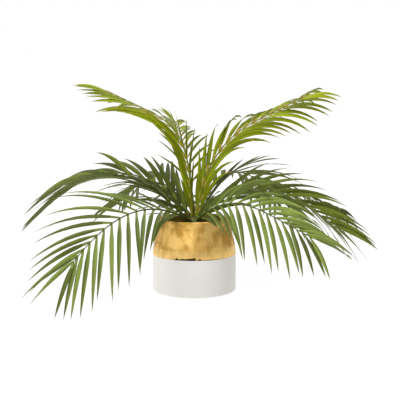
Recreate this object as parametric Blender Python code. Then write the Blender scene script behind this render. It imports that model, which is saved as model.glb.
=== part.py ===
"""Artificial palm with wired fronds, potted in a two-tone glazed planter.

Metres, +Z up, seen from -Y. The origin is the centre of the planter's flat underside.
"""

import math
import random
from dataclasses import dataclass

import bmesh
import bpy
from mathutils import Matrix, Vector
from mathutils.bvhtree import BVHTree

CLEARANCE = 0.0003

# Colours
WHITE = (0.80, 0.78, 0.75)
GOLD = (0.72, 0.45, 0.14)
MOSS_GREEN = (0.10, 0.12, 0.04)
STALK_GREEN = (0.12, 0.16, 0.04)
YOUNG_GREEN = (0.30, 0.37, 0.04)
MATURE_GREEN = (0.11, 0.18, 0.04)

# Planter
PLANTER_HEIGHT = 0.166
PLANTER_RADIUS = 0.0945
FOOT_ROUNDING = 0.005
SHOULDER_START = 0.078
SHOULDER_ARC = 0.153
CONE_ANGLE = math.radians(14.0)
WALL = 0.0065
FLOOR = 0.009
GLAZE_START = 0.0845
GLAZE_DEPTH_INSIDE = 0.023
GLAZE_THICKNESS = 0.0008
PLANTER_STEPS = 40
CROWN_STEPS = 16
DOME_STEPS = 4
ROUNDING_STEPS = 2
SHOULDER_STEPS = 3
SHARP_EDGE = math.radians(40.0)

# Filler and crown
FILLER_TOP = 0.146
FILLER_DOME = 0.004
FLAT_RADIUS = 0.024
CROWN_RADIUS = 0.016
CROWN_CENTRE = 0.152

# Fronds
DOWN = Vector((0.0, 0.0, -1.0))
RIB_STEPS = 40
RING_GAP = 0.015
RIB_SIDES = 3
RIB_FOOT_RADIUS = 0.0026
RIB_TIP_RADIUS = 0.0009
LEAFLET_STEPS = 6
LEAFLET_STATIONS = (0, 2, 4, 6)
# Pairs crowd together towards the tip by this power of their place.
CROWDING = 1.15
# Each leaflet strays a little, in degrees and as a share of its length.
OPEN_CHANCE = 4.0
LIFT_CHANCE = 5.0
LENGTH_CHANCE = (0.93, 1.05)
# The lift of a leaflet out of its frond's plane fades by this share towards the tip.
LIFT_FADE = 0.4
# A leaflet bends down faster towards its own tip, and short ones bend less.
SAG_GROWTH = 1.2
# Leaflets shorten from LONGEST_AT by these powers of the distance to either end of the rib.
LONGEST_AT = 0.4
LOW_END_POWER = 1.5
TIP_POWER = 2.0
WIDEST_AT = 0.35
LAST_ROOT = 0.999
# Outline of a leaflet
ROOT_WIDTH_SHARE = 0.35
FULL_WIDTH_AT = 0.3
TAPER_POWER = 0.8
# A ring of three sides with radius 1 is this wide to each side, and this deep.
TRIANGLE_HALF_WIDTH = math.cos(math.pi / 6.0)
TRIANGLE_DEPTH = 1.5
THINNEST_SHARE = 0.1
ROOT_OFFSET = 0.5
LEAFLET_THICKNESS_SHARE = 0.011
STAGGER = 0.006
SPLIT_BEFORE_PAIR = 0.012
LOWEST_LEAF = 0.003
KEEP_OFF = 0.0008
# Degrees that a leaflet is lifted or lowered by to find a clear place.
NUDGES = (0.0, 7.0, -7.0, 14.0, -14.0, 21.0, -21.0)


@dataclass(frozen=True)
class Frond:
    """One wired frond. Angles are in degrees, shares run from the foot (0) to the tip (1).

    Two values are those at the foot and at the tip, and three have the middle between them.
    A leaflet opens away from its rib, is lifted out of the frond's plane, sags under its weight
    and has its forward edge tipped down by the pitch.
    """

    name: str
    foot: tuple
    azimuth: float
    rise: float
    fall: float
    bend: float
    span: float
    length: float
    seed: int
    sweep: float = 0.0
    bare: float = 0.08
    roll: tuple = (0.0, 0.0)
    leaflet: float = 0.185
    ends: tuple = (0.82, 0.6)
    opening: tuple = (55.0, 45.0, 26.0)
    lift: tuple = (15.0, 15.0)
    sag: float = 0.9
    pitch: tuple = (42.0, 42.0)
    width: float = 0.0105
    pairs: int = 14
    young: bool = False


FRONDS = (
    Frond(
        "frond_upper_left",
        foot=(150, 72),
        azimuth=142,
        rise=85,
        fall=19,
        bend=0.43,
        span=0.27,
        sweep=0,
        length=0.435,
        bare=0.02,
        roll=(-7, 15),
        leaflet=0.138,
        ends=(0.60, 0.65),
        opening=(10, 28, 17),
        lift=(-24, -18),
        sag=0.50,
        pitch=(0, 0),
        width=0.0110,
        pairs=17,
        seed=160,
        young=True,
    ),
    Frond(
        "frond_upper_right",
        foot=(30, 72),
        azimuth=26,
        rise=78,
        fall=21,
        bend=0.37,
        span=0.35,
        sweep=8,
        length=0.430,
        bare=0.02,
        roll=(17, 2),
        leaflet=0.161,
        ends=(0.80, 0.65),
        opening=(12, 19, 16),
        lift=(35, -2),
        sag=1.10,
        pitch=(3, 3),
        width=0.0110,
        pairs=17,
        seed=23,
        young=True,
    ),
    Frond(
        "frond_left",
        foot=(172, 50),
        azimuth=151,
        rise=51,
        fall=-38,
        bend=0.40,
        span=0.65,
        sweep=11,
        length=0.430,
        bare=0.05,
        roll=(-9, -17),
        leaflet=0.170,
        ends=(0.90, 0.55),
        opening=(28, 30, 24),
        lift=(6, 4),
        sag=0.45,
        width=0.0125,
        pairs=15,
        seed=179,
    ),
    Frond(
        "frond_front_left",
        foot=(232, 30),
        azimuth=229,
        rise=27,
        fall=-34,
        bend=0.44,
        span=0.60,
        sweep=6,
        length=0.390,
        bare=0.11,
        roll=(-36, -32),
        leaflet=0.180,
        ends=(0.80, 0.68),
        opening=(28, 47, 16),
        lift=(-1, 5),
        sag=0.65,
        pitch=(15, 15),
        width=0.0095,
        pairs=15,
        seed=115,
    ),
    Frond(
        "frond_front_right",
        foot=(303, 36),
        azimuth=305,
        rise=35,
        fall=-16,
        bend=0.32,
        span=0.46,
        sweep=8,
        length=0.370,
        bare=-0.02,
        roll=(66, 32),
        leaflet=0.149,
        ends=(0.50, 0.70),
        opening=(27, 44, 19),
        lift=(5, -7),
        sag=1.05,
        width=0.0095,
        pairs=17,
        seed=218,
    ),
    Frond(
        "frond_right",
        foot=(335, 48),
        azimuth=314,
        rise=46,
        fall=-34,
        bend=0.38,
        span=0.72,
        sweep=25,
        length=0.375,
        bare=0.13,
        roll=(5, -7),
        leaflet=0.153,
        ends=(0.90, 0.75),
        opening=(45, 38, 34),
        lift=(36, 4),
        sag=0.65,
        width=0.0095,
        pairs=14,
        seed=197,
    ),
    Frond(
        "frond_back_upright",
        foot=(90, 62),
        azimuth=104,
        rise=70,
        fall=18,
        bend=0.39,
        span=0.53,
        sweep=-5,
        length=0.340,
        bare=0.25,
        roll=(-2, 27),
        leaflet=0.115,
        ends=(0.85, 0.75),
        opening=(47, 24, 24),
        lift=(25, 20),
        sag=0.55,
        pitch=(0, 0),
        width=0.0070,
        pairs=13,
        seed=32,
        young=True,
    ),
    Frond(
        "frond_back_right",
        foot=(58, 42),
        azimuth=62,
        rise=51,
        fall=-31,
        bend=0.34,
        span=0.54,
        sweep=-10,
        length=0.445,
        bare=0.07,
        roll=(-10, -2),
        leaflet=0.197,
        ends=(0.80, 0.60),
        opening=(25, 30, 24),
        lift=(5, 20),
        sag=0.55,
        pitch=(0, 42),
        width=0.0125,
        pairs=13,
        seed=169,
    ),
    Frond(
        "frond_back_left",
        foot=(130, 40),
        azimuth=125,
        rise=31,
        fall=-30,
        bend=0.52,
        span=0.32,
        sweep=2,
        length=0.340,
        bare=0.08,
        roll=(-20, -8),
        leaflet=0.165,
        ends=(0.85, 0.55),
        opening=(24, 30, 26),
        lift=(8, 7),
        sag=0.50,
        pitch=(0, 42),
        width=0.0125,
        pairs=13,
        seed=22,
    ),
    Frond(
        "frond_right_behind",
        foot=(15, 40),
        azimuth=28,
        rise=45,
        fall=-25,
        bend=0.28,
        span=0.58,
        sweep=-4,
        length=0.410,
        bare=0.03,
        roll=(14, 25),
        leaflet=0.179,
        ends=(0.75, 0.65),
        opening=(30, 36, 28),
        lift=(-2, 3),
        sag=1.00,
        pitch=(0, 42),
        width=0.0120,
        pairs=13,
        seed=315,
    ),
    Frond(
        "frond_left_low",
        foot=(190, 28),
        azimuth=175,
        rise=45,
        fall=-32,
        bend=0.57,
        span=0.54,
        sweep=-4,
        length=0.360,
        bare=-0.03,
        roll=(-9, -9),
        leaflet=0.172,
        ends=(0.80, 0.45),
        opening=(50, 46, 31),
        lift=(6, 0),
        sag=0.60,
        width=0.0115,
        pairs=13,
        seed=12,
    ),
    Frond(
        "frond_back_low",
        foot=(90, 30),
        azimuth=95,
        rise=30,
        fall=-52,
        bend=0.40,
        span=0.68,
        sweep=4,
        length=0.415,
        bare=0.08,
        roll=(11, 1),
        leaflet=0.194,
        ends=(0.90, 0.50),
        opening=(38, 38, 19),
        lift=(24, 7),
        sag=0.80,
        pitch=(0, 42),
        pairs=12,
        seed=61,
    ),
)


def smooth_step(value):
    """Ease from 0 to 1 with no corner at either end."""
    value = min(max(value, 0.0), 1.0)
    return value * value * (3.0 - 2.0 * value)


def blend(start, end, share):
    return start + (end - start) * share


def heading(azimuth, height_angle):
    """Unit vector of a plan direction and an angle above level, in degrees."""
    turn = math.radians(azimuth)
    climb = math.radians(height_angle)
    level = math.cos(climb)
    return Vector((level * math.cos(turn), level * math.sin(turn), math.sin(climb)))


def plain_material(name, colour, roughness, metallic=0.0):
    material = bpy.data.materials.new(name)
    material.use_nodes = True
    shader = material.node_tree.nodes["Principled BSDF"]
    shader.inputs["Base Color"].default_value = (*colour, 1.0)
    shader.inputs["Roughness"].default_value = roughness
    shader.inputs["Metallic"].default_value = metallic
    material.diffuse_color = (*colour, 1.0)
    return material


def link_object(name, mesh_builder, material):
    """Turn a finished bmesh into a named object."""
    mesh = bpy.data.meshes.new(name)
    mesh_builder.to_mesh(mesh)
    mesh_builder.free()
    mesh.materials.append(material)
    thing = bpy.data.objects.new(name, mesh)
    bpy.context.scene.collection.objects.link(thing)
    return thing


def turned(name, outline, material, steps=PLANTER_STEPS, closed=False):
    """Spin an outline of (radius, height) points about Z into one closed body."""
    builder = bmesh.new()
    points = [builder.verts.new((radius, 0.0, height)) for radius, height in outline]
    for first, second in zip(points, points[1:]):
        builder.edges.new((first, second))
    if closed:
        builder.edges.new((points[-1], points[0]))
    bmesh.ops.spin(
        builder,
        geom=builder.verts[:] + builder.edges[:],
        cent=(0.0, 0.0, 0.0),
        axis=(0.0, 0.0, 1.0),
        angle=math.tau,
        steps=steps,
        use_merge=True,
    )
    bmesh.ops.remove_doubles(builder, verts=builder.verts, dist=1e-6)
    bmesh.ops.recalc_face_normals(builder, faces=builder.faces)
    thing = link_object(name, builder, material)
    thing.data.shade_smooth()
    thing.data.set_sharp_from_angle(angle=SHARP_EDGE)
    return thing


def arc(centre, radius, start, end, steps):
    """Points of an arc in the (radius, height) plane, angles from the +radius direction."""
    points = []
    for index in range(steps + 1):
        angle = blend(start, end, index / steps)
        points.append((centre[0] + radius * math.cos(angle), centre[1] + radius * math.sin(angle)))
    return points


def planter_side(inset, top):
    """Outer side from the shoulder up to a height, moved inwards by inset."""
    centre = (PLANTER_RADIUS - SHOULDER_ARC, SHOULDER_START)
    shoulder = arc(centre, SHOULDER_ARC - inset, 0.0, CONE_ANGLE, SHOULDER_STEPS)
    radius, height = shoulder[-1]
    run = (top - height) * math.tan(CONE_ANGLE)
    return shoulder + [(radius - run, top)]


def side_radius(height):
    """Radius of the planter's outer side at a height."""
    if height <= SHOULDER_START:
        return PLANTER_RADIUS
    lift = height - SHOULDER_START
    arc_height = SHOULDER_ARC * math.sin(CONE_ANGLE)
    if lift <= arc_height:
        return PLANTER_RADIUS - SHOULDER_ARC + math.sqrt(SHOULDER_ARC**2 - lift**2)
    arc_run = SHOULDER_ARC * (1.0 - math.cos(CONE_ANGLE))
    return PLANTER_RADIUS - arc_run - (lift - arc_height) * math.tan(CONE_ANGLE)


def lip(inset):
    """Rounded lip from the outer side over to the inner side, as a half round."""
    radius = WALL / 2.0 - inset
    height = PLANTER_HEIGHT - WALL / 2.0
    centre = (side_radius(height) - WALL / 2.0, height)
    return arc(centre, radius, CONE_ANGLE, math.pi + CONE_ANGLE, 2 * ROUNDING_STEPS)


def make_planter():
    """Ceramic body: flat underside, rounded foot, bowed shoulder, and a shallow recess for the glaze."""
    recess = GLAZE_THICKNESS + CLEARANCE
    foot_centre = (PLANTER_RADIUS - FOOT_ROUNDING, FOOT_ROUNDING)
    outline = [(0.0, 0.0)]
    outline += arc(foot_centre, FOOT_ROUNDING, -math.pi / 2.0, 0.0, ROUNDING_STEPS)
    outline.append((side_radius(GLAZE_START), GLAZE_START))
    side = planter_side(recess, PLANTER_HEIGHT - WALL / 2.0)[:-1]
    outline.append((side_radius(GLAZE_START) - recess, GLAZE_START))
    outline += [point for point in side if point[1] > GLAZE_START]
    outline += lip(recess)
    glaze_end = PLANTER_HEIGHT - GLAZE_DEPTH_INSIDE
    outline.append((side_radius(glaze_end) - WALL + recess, glaze_end - CLEARANCE))
    outline.append((side_radius(glaze_end) - WALL, glaze_end - CLEARANCE))
    outline += reversed(planter_side(WALL, glaze_end)[:-1])
    outline.append((PLANTER_RADIUS - WALL, FLOOR + FOOT_ROUNDING))
    outline.append((PLANTER_RADIUS - WALL - FOOT_ROUNDING, FLOOR))
    outline.append((0.0, FLOOR))
    return turned("planter", outline, plain_material("white_glazed_ceramic", WHITE, 0.35))


def make_gold_glaze():
    """Metallic glaze as a thin closed skin round the upper side, over the lip and just inside."""
    bottom = GLAZE_START + CLEARANCE
    outer = [(side_radius(bottom), bottom)]
    outer += [point for point in planter_side(0.0, PLANTER_HEIGHT - WALL / 2.0)[:-1] if point[1] > bottom]
    outer += lip(0.0)
    glaze_end = PLANTER_HEIGHT - GLAZE_DEPTH_INSIDE
    outer.append((side_radius(glaze_end) - WALL, glaze_end))
    inner = [(side_radius(glaze_end) - WALL + GLAZE_THICKNESS, glaze_end)]
    inner += reversed(lip(GLAZE_THICKNESS))
    side = planter_side(GLAZE_THICKNESS, PLANTER_HEIGHT - WALL / 2.0)[:-1]
    inner += reversed([point for point in side if point[1] > bottom])
    inner.append((side_radius(bottom) - GLAZE_THICKNESS, bottom))
    gold = plain_material("gold_glaze", GOLD, 0.3, metallic=0.9)
    return turned("gold_glaze", outer + inner, gold, closed=True)


def make_filler():
    """Moss-topped filling that fills the planter up to just below the rim."""
    inset = WALL + CLEARANCE
    base = FLOOR + CLEARANCE
    outline = [(0.0, base), (PLANTER_RADIUS - inset - FOOT_ROUNDING, base)]
    outline.append((PLANTER_RADIUS - inset, base + FOOT_ROUNDING))
    outline += planter_side(inset, FILLER_TOP - FILLER_DOME)
    outline.append((FLAT_RADIUS, FILLER_TOP))
    outline.append((0.0, FILLER_TOP))
    return turned("moss_filler", outline, plain_material("moss", MOSS_GREEN, 0.95))


def make_crown():
    """Short stalk with a domed head that every frond grows from."""
    foot = FILLER_TOP + CLEARANCE
    outline = [(0.0, foot), (CROWN_RADIUS, foot)]
    outline += arc((0.0, CROWN_CENTRE), CROWN_RADIUS, 0.0, math.pi / 2.0, DOME_STEPS)
    return turned("crown_stalk", outline, plain_material("stalk", STALK_GREEN, 0.7), steps=CROWN_STEPS)


def rib_line(frond):
    """Points along the rib, the way it runs in each stretch, and its plan angle there."""
    radial = heading(*frond.foot)
    start_way = heading(frond.azimuth, frond.rise)
    tilt = math.sin(radial.angle(start_way))
    reach = CROWN_RADIUS + CLEARANCE + RIB_FOOT_RADIUS * tilt
    points = [Vector((0.0, 0.0, CROWN_CENTRE)) + radial * reach]
    ways = []
    turns = []
    first = smooth_step((frond.span - frond.bend) / (2.0 * frond.span))
    last = smooth_step((1.0 - frond.bend + frond.span) / (2.0 * frond.span))
    for index in range(RIB_STEPS):
        share = (index + 0.5) / RIB_STEPS
        eased = smooth_step((share - frond.bend + frond.span) / (2.0 * frond.span))
        eased = (eased - first) / (last - first)
        turn = frond.azimuth + frond.sweep * share
        way = heading(turn, blend(frond.rise, frond.fall, eased))
        points.append(points[-1] + way * (frond.length / RIB_STEPS))
        ways.append(way)
        turns.append(math.radians(turn))
    return points, ways, turns


def along(points, share):
    """Point of an evenly stepped line at a share of its length."""
    place = share * (len(points) - 1)
    index = min(int(place), len(points) - 2)
    return points[index].lerp(points[index + 1], place - index)


def placed(point, across, over, way, half_width, half_depth):
    """Matrix that sets a unit ring at a point, facing way, with its two half sizes."""
    columns = (across * half_width, over * half_depth, way)
    matrix = Matrix.Identity(4)
    for column, vector in enumerate(columns):
        matrix[0][column], matrix[1][column], matrix[2][column] = vector
    matrix.translation = point
    return matrix


def swept(frames, sides, pointed):
    """Closed solid made by extruding a ring of some sides through a row of frames."""
    builder = bmesh.new()
    spin = Matrix.Rotation(math.pi / 2.0, 4, "Z")
    bmesh.ops.create_circle(builder, cap_ends=True, segments=sides, radius=1.0, matrix=frames[0] @ spin)
    face = builder.faces[:][0]
    for before, after in zip(frames, frames[1:]):
        face = bmesh.ops.extrude_discrete_faces(builder, faces=[face])["faces"][0]
        bmesh.ops.transform(builder, matrix=after @ before.inverted(), verts=face.verts)
    if pointed:
        bmesh.ops.pointmerge(builder, verts=face.verts, merge_co=frames[-1].translation)
    bmesh.ops.holes_fill(builder, edges=builder.edges, sides=sides)
    bmesh.ops.recalc_face_normals(builder, faces=builder.faces)
    bmesh.ops.triangulate(builder, faces=builder.faces)
    return builder


def rib_solid(frond, line, start, end):
    """Tapering rib between two shares of its length."""
    points, ways, turns = line
    at_pairs = [pair_share(frond, pair / (frond.pairs - 1)) for pair in range(frond.pairs)]
    shares = [start] + [share for share in at_pairs if start + RING_GAP < share < end - RING_GAP] + [end]
    frames = []
    for share in shares:
        index = min(int(share * RIB_STEPS), RIB_STEPS - 1)
        way = ways[index]
        across = Vector((-math.sin(turns[index]), math.cos(turns[index]), 0.0))
        over = way.cross(across)
        radius = blend(RIB_FOOT_RADIUS, RIB_TIP_RADIUS, share)
        frames.append(placed(along(points, share), across, over, way, radius, radius))
    return swept(frames, RIB_SIDES, pointed=False)


def pair_share(frond, reach):
    """Where along the rib a pair sits, reach running from 0 at the lowest pair to 1 at the last."""
    return blend(frond.bare, 1.0, 1.0 - (1.0 - reach) ** CROWDING)


def leaflet_rows(frond):
    """Reach, side and the small chance turns of every leaflet, always in the same order."""
    chance = random.Random(frond.seed)
    rows = []
    for pair in range(frond.pairs):
        for side in (-1.0, 1.0):
            open_chance = chance.uniform(-OPEN_CHANCE, OPEN_CHANCE)
            lift_chance = chance.uniform(-LIFT_CHANCE, LIFT_CHANCE)
            length_chance = chance.uniform(*LENGTH_CHANCE)
            rows.append((pair / (frond.pairs - 1), side, open_chance, lift_chance, length_chance))
    return rows


def leaflet_length_share(frond, reach):
    """Shorter leaflets towards both ends of the rib, full ones at LONGEST_AT."""
    low, tip = frond.ends
    below = max(0.0, 1.0 - reach / LONGEST_AT)
    beyond = max(0.0, (reach - LONGEST_AT) / (1.0 - LONGEST_AT))
    return 1.0 - (1.0 - low) * below**LOW_END_POWER - (1.0 - tip) * beyond**TIP_POWER


def leaflet_opening(frond, reach):
    """Angle between a leaflet and the rib at the lowest pair, at WIDEST_AT and at the last pair."""
    low, middle, tip = frond.opening
    if reach < WIDEST_AT:
        return blend(low, middle, reach / WIDEST_AT)
    return blend(middle, tip, (reach - WIDEST_AT) / (1.0 - WIDEST_AT))


def leaflet_line(frond, line, row, nudge):
    """Root share, centre line points and the rib's frame for one leaflet."""
    points, ways, turns = line
    reach, side, open_chance, lift_chance, length_chance = row
    share = min(max(pair_share(frond, reach) + side * STAGGER, 0.0), LAST_ROOT)
    index = int(share * RIB_STEPS)
    way = ways[index]
    across = Vector((-math.sin(turns[index]), math.cos(turns[index]), 0.0))
    turn = Matrix.Rotation(math.radians(blend(*frond.roll, share)), 3, way)
    across = turn @ across
    over = way.cross(across)
    opening = math.radians(leaflet_opening(frond, reach) + open_chance)
    side_lift = frond.lift[0] if side > 0.0 else frond.lift[1]
    lift = math.radians(side_lift * (1.0 - LIFT_FADE * reach) + lift_chance + nudge)
    outwards = across * side * math.cos(lift) + over * math.sin(lift)
    start_way = way * math.cos(opening) + outwards * math.sin(opening)
    size = leaflet_length_share(frond, reach)
    length = frond.leaflet * length_chance * size
    root = outwards * ROOT_OFFSET * blend(RIB_FOOT_RADIUS, RIB_TIP_RADIUS, share)
    centre_line = [along(points, share) + root]
    leaflet_ways = []
    for step in range(LEAFLET_STEPS):
        bent = start_way + DOWN * frond.sag * size * ((step + 0.5) / LEAFLET_STEPS) ** SAG_GROWTH
        bent.normalize()
        leaflet_ways.append(bent)
        centre_line.append(centre_line[-1] + bent * (length / LEAFLET_STEPS))
    return share, centre_line, leaflet_ways, way, over, length


def leaflet_width_share(share):
    """Outline of a leaflet: narrow root, full by a third of its length, drawn to a point."""
    swell = blend(ROOT_WIDTH_SHARE, 1.0, smooth_step(share / FULL_WIDTH_AT))
    beyond = max(0.0, (share - FULL_WIDTH_AT) / (1.0 - FULL_WIDTH_AT))
    taper = math.cos(math.pi / 2.0 * beyond) ** TAPER_POWER
    return swell * taper


def leaflet_solid(frond, leaflet, margin=0.0):
    """Flat three-sided blade along the leaflet's line, its ridge on the upper face."""
    share, centre_line, leaflet_ways, rib_way, rib_over, length = leaflet
    pitch = math.radians(blend(*frond.pitch, share))
    frames = []
    for station in LEAFLET_STATIONS:
        way = leaflet_ways[max(0, station - 1)]
        across = (rib_way - way * rib_way.dot(way)).normalized()
        over = way.cross(across)
        if over.dot(rib_over) < 0.0:
            over = -over
        across = Matrix.Rotation(pitch, 3, over.cross(across)) @ across
        over = way.cross(across)
        if over.dot(rib_over) < 0.0:
            across = -across
            over = -over
        size = leaflet_width_share(station / LEAFLET_STEPS)
        half_width = frond.width / 2.0 * size / TRIANGLE_HALF_WIDTH + margin
        half_depth = length * LEAFLET_THICKNESS_SHARE / TRIANGLE_DEPTH * max(size, THINNEST_SHARE) + margin
        frames.append(placed(centre_line[station], across, over, way, half_width, half_depth))
    return swept(frames, 3, pointed=True)


def is_clear(builder, owner, obstacles):
    """Whether a leaflet stays above the floor and off every solid but its own frond piece."""
    if min(point.co.z for point in builder.verts) < LOWEST_LEAF:
        return False
    shape = BVHTree.FromBMesh(builder)
    return not any(name != owner and shape.overlap(other) for name, other in obstacles)


def frond_pieces(frond):
    """Name, start and end share of the two solids of a frond, parted at its bend."""
    places = [pair / (frond.pairs - 1) for pair in range(1, frond.pairs)]
    shares = [pair_share(frond, place) - SPLIT_BEFORE_PAIR for place in places]
    cut = min(shares, key=lambda share: abs(share - frond.bend))
    half_gap = CLEARANCE / 2.0 / frond.length
    return (
        (f"{frond.name}_inner", 0.0, cut - half_gap),
        (f"{frond.name}_outer", cut + half_gap, 1.0),
    )


def piece_at(frond, share):
    """Name of the frond's solid that holds a share of its length."""
    inner, outer = frond_pieces(frond)
    return inner[0] if share <= inner[2] else outer[0]


def fuse(rib, leaflets):
    """Join the leaflets to their rib in one union."""
    group = bpy.data.collections.new("leaflets")
    bpy.context.scene.collection.children.link(group)
    for builder in leaflets:
        mesh = bpy.data.meshes.new("leaflet")
        builder.to_mesh(mesh)
        builder.free()
        group.objects.link(bpy.data.objects.new("leaflet", mesh))
    union = rib.modifiers.new("leaflets", "BOOLEAN")
    union.operation = "UNION"
    union.operand_type = "COLLECTION"
    union.collection = group
    union.solver = "MANIFOLD"
    graph = bpy.context.evaluated_depsgraph_get()
    joined = bpy.data.meshes.new_from_object(rib.evaluated_get(graph))
    rib.modifiers.clear()
    rib.data = joined
    for leaflet in group.objects[:]:
        bpy.data.objects.remove(leaflet)
    bpy.data.collections.remove(group)


def keep_largest_body(thing):
    """Drop scraps that the union left apart from the main body."""
    builder = bmesh.new()
    builder.from_mesh(thing.data)
    waiting = set(builder.verts)
    bodies = []
    while waiting:
        found = [waiting.pop()]
        for point in found:
            for edge in point.link_edges:
                other = edge.other_vert(point)
                if other in waiting:
                    waiting.discard(other)
                    found.append(other)
        bodies.append(found)
    bodies.sort(key=len, reverse=True)
    for scrap in bodies[1:]:
        bmesh.ops.delete(builder, geom=scrap, context="VERTS")
    builder.to_mesh(thing.data)
    builder.free()


def make_fronds(carriers):
    """Every frond as two fused solids; a leaflet that finds no clear place is left out."""
    young = plain_material("young_frond", YOUNG_GREEN, 0.5)
    mature = plain_material("mature_frond", MATURE_GREEN, 0.5)
    obstacles = []
    for thing in carriers:
        builder = bmesh.new()
        builder.from_mesh(thing.data)
        obstacles.append((thing.name, BVHTree.FromBMesh(builder)))
        builder.free()
    ribs = {}
    for frond in FRONDS:
        line = rib_line(frond)
        for name, start, end in frond_pieces(frond):
            builder = rib_solid(frond, line, start, end)
            obstacles.append((name, BVHTree.FromBMesh(builder)))
            ribs[name] = link_object(name, builder, young if frond.young else mature)
    for frond in FRONDS:
        line = rib_line(frond)
        leaflets = {name: [] for name, _, _ in frond_pieces(frond)}
        for row in leaflet_rows(frond):
            for nudge in NUDGES:
                leaflet = leaflet_line(frond, line, row, nudge)
                owner = piece_at(frond, leaflet[0])
                test = leaflet_solid(frond, leaflet, margin=KEEP_OFF)
                clear = is_clear(test, owner, obstacles)
                test.free()
                if clear:
                    builder = leaflet_solid(frond, leaflet)
                    obstacles.append((owner, BVHTree.FromBMesh(builder)))
                    leaflets[owner].append(builder)
                    break
        for name, builders in leaflets.items():
            fuse(ribs[name], builders)
            keep_largest_body(ribs[name])


def main():
    for thing in bpy.data.objects[:]:
        bpy.data.objects.remove(thing)
    make_fronds([make_planter(), make_gold_glaze(), make_filler(), make_crown()])


main()
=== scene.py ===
"""Artificial palm with wired arching fronds, in a planter glazed white below and gold above."""

import math
import random
from dataclasses import dataclass

import bmesh
import bpy
from mathutils import Matrix, Vector, noise
from mathutils.bvhtree import BVHTree


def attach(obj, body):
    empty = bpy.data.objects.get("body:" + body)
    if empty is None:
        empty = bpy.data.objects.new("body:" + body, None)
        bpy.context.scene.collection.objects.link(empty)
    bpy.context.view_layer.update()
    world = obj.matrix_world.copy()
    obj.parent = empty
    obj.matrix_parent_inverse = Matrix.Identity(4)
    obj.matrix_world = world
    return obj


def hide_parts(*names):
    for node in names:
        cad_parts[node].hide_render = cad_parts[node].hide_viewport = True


bl_info = {
    "name": "Potted Palm",
    "version": (1, 0, 0),
    "blender": (4, 5, 0),
    "location": "View3D > Sidebar > Potted Palm",
    "description": "Dresses the frame of an artificial palm in a glazed planter",
    "category": "Object",
}

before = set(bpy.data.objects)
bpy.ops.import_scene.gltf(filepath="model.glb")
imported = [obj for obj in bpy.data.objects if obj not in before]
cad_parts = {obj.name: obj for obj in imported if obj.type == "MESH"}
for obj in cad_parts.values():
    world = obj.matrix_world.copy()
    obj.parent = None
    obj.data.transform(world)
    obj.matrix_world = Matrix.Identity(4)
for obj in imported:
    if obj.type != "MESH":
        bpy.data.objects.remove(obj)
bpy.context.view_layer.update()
BODY = "root"
MERGE_DISTANCE = 1e-6
SHARP_EDGE = 40.0

# Planter, as the frame has it
PLANTER_HEIGHT = 0.166
PLANTER_RADIUS = 0.0945
FOOT_ROUNDING = 0.005
SHOULDER_START = 0.078
SHOULDER_ARC = 0.153
CONE_ANGLE = math.radians(14.0)
WALL = 0.0065
FLOOR = 0.009
LIP_HEIGHT = PLANTER_HEIGHT - WALL / 2.0
GLAZE_START = 0.0845
GLAZE_DEPTH_INSIDE = 0.023

# Planter, finish
TURNED_STEPS = 120
WALL_RING_GAP = 0.008
FOOT_STEPS = 6
CORNER_STEPS = 4
LIP_STEPS = 10
FACES_DOWN = -0.9
# Noise scales for the wall's unevenness and for the gold's lower edge.
WALL_NOISE = 14.0
EDGE_NOISE = 32.0
# Sums of noise between which the gold goes from deep to light, on its upper part and on the lap.
GOLD_RANGE = (0.84, 1.12)
LAP_RANGE = (0.80, 1.12)
# Sums of noise between which it turns olive, as far as the strength, and between which it gets smoother.
OLIVE_RANGE = (0.96, 0.80)
OLIVE_STRENGTH = 0.75
POLISH_RANGE = (0.8, 1.2)
GOLD_ROUGHNESS = (0.66, 0.52)
# Height of the lap in the gold with half of its wander added.
LAP_HEIGHT = 0.119
LAP_WANDER = 0.03
LAP_BLUR = 0.002
LAP_STRENGTH = 0.85
LAP_SHADE = 0.70
LAP_POLISH = -0.18
LAP_STEP = -0.3
# Burnt spots gather round the first place on the gold's lower edge, and a dark line round the second.
BURN_PLACE = (-0.018, -0.093)
BURN_REACH = (0.012, 0.046)
BURN_HEIGHT = 0.0095
BURN_SHARE = 0.72
BURN_RANGE = (0.80, 0.88)
LINE_PLACE = (0.022, -0.092)
LINE_REACH = (0.030, 0.060)
LINE_HEIGHTS = (0.0004, 0.0018)
LINE_STRENGTH = (0.95, 0.2)
# The gold's darkest patches hold these shares of the deep gold's red, green and blue.
OLIVE_SHARES = (0.66, 0.72, 0.70)
# Noise values mostly lie between these.
NOISE_RANGE = (0.3, 0.7)

# Filler and crown, as the frame has them
CLEARANCE = 0.0003
FILLER_TOP = 0.146
FILLER_DOME = 0.004
FLAT_RADIUS = 0.024
CROWN_RADIUS = 0.016
CROWN_CENTRE = 0.152

# Moss, finish
BED_GAP = 0.0025
# Scale and share of each size of lump, and how far from the stalk the lumps start.
LUMP_NOISES = ((70.0, 1.0), (190.0, 0.5))
LUMP_START = 0.004
STRAND_SEED = 7
STRAND_RINGS = 4
STRAND_SIDES = 3
STRAND_EDGE = 0.003
STRAND_SINK = 0.001
STRAND_CLIMB = (10.0, 80.0)
STRAND_LENGTH = (0.005, 0.011)
STRAND_CURL = (20.0, 70.0)
STRAND_THICKNESS = (0.0003, 0.0006)
STRAND_TAPER = 0.75
# Slots of the strands: the bed's own colour twice as often as the light and the dark one.
STRAND_TONES = (0, 0, 1, 2)

# Stalk, finish
STALK_STEPS = 96
STALK_GAP = 0.002
STALK_FLARE = 0.001
STALK_SINK = 0.002
DOME_STEPS = 12
GROOVES = 24
GROOVE_DEPTH = 0.0004
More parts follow.
